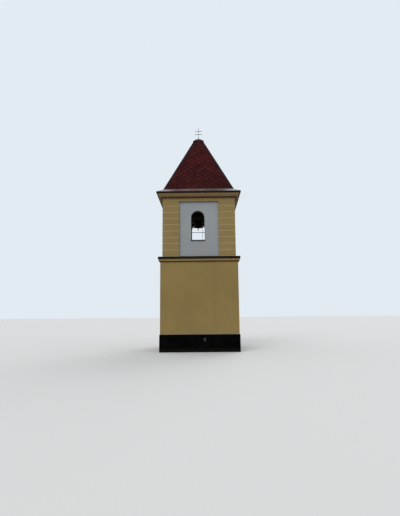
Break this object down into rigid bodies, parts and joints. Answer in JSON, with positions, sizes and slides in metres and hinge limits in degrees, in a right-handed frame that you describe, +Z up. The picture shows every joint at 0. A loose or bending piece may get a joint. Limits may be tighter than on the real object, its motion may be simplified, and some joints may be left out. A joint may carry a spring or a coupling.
{
  "type": "bell tower",
  "caption": "Small square plastered village bell tower with an arched bell chamber, a swinging bell and a steep shingled pyramid roof with a cross.",
  "frame": {"origin": "centre of the base on the ground", "axes": "+Z up, the front face with the plinth vent faces -Y, +X to its right as seen from the front"},
  "size_m": [3.86, 3.86, 11.178],
  "materials": {
    "ochre_plaster": "matt fine plaster, ochre paint",
    "grey_plaster": "matt fine plaster, pale grey paint",
    "plinth_coat": "black plinth coating",
    "concrete": "plain concrete",
    "door_timber": "brown stained boards",
    "dark_sheet_metal": "dark brown painted sheet metal",
    "grey_sheet_metal": "weathered grey sheet metal",
    "roof_shingle": "dark red bitumen shingles with mineral grit",
    "wrought_iron": "black painted iron",
    "oak": "old oak",
    "bell_bronze": "dark weathered bell bronze",
    "hemp": "twisted hemp rope",
    "vent_metal": "dark grey painted metal"
  },
  "bodies": {
    "root": {"belfry_floor": "concrete", "bell_beams": "oak", "bell_rope": "hemp", "corner_pier_back_left": "ochre_plaster", "corner_pier_back_right": "ochre_plaster", "corner_pier_front_left": "ochre_plaster", "corner_pier_front_right": "ochre_plaster", "door_frame": "door_timber", "door_handle": "wrought_iron", "door_hinges": "wrought_iron", "door_leaf": "door_timber", "door_ledges": "door_timber", "eave_board": "dark_sheet_metal", "frieze": "ochre_plaster", "ground_floor": "concrete", "hip_caps": "dark_sheet_metal", "lower_wall_back": "ochre_plaster", "lower_wall_front": "ochre_plaster", "lower_wall_left": "ochre_plaster", "lower_wall_right": "ochre_plaster", "main_cornice": "ochre_plaster", "metal_skirt": "grey_sheet_metal", "panel_wall_back": "grey_plaster", "panel_wall_front": "grey_plaster", "panel_wall_left": "grey_plaster", "panel_wall_right": "grey_plaster", "plinth": "plinth_coat", "plinth_vent": "vent_metal", "roof_cap": "dark_sheet_metal", "roof_cross": "wrought_iron", "roof_slope_back": "roof_shingle", "roof_slope_front": "roof_shingle", "roof_slope_left": "roof_shingle", "roof_slope_right": "roof_shingle", "rope_knot": "hemp", "shaft_bearings": "wrought_iron", "string_course": "ochre_plaster", "string_course_coping": "dark_sheet_metal", "window_sills": "dark_sheet_metal"},
    "bell": {"bell": "bell_bronze", "headstock": "oak", "headstock_straps": "wrought_iron", "headstock_gudgeons": "wrought_iron", "bell_lever": "wrought_iron"},
    "clapper": {"clapper": "wrought_iron"}
  },
  "joints": [
    {"name": "bell_swing", "type": "hinge", "parent": "root", "child": "bell", "pos_m": [-0.048, 0, 6.46], "axis": [0, 1, 0], "range_deg": [-45, 45], "deforming": ["bell_rope"]},
    {"name": "clapper_swing", "type": "hinge", "parent": "bell", "child": "clapper", "pos_m": [-0.048, 0, 6.245], "axis": [0, 1, 0], "range_deg": [-31, 31]}
  ]
}
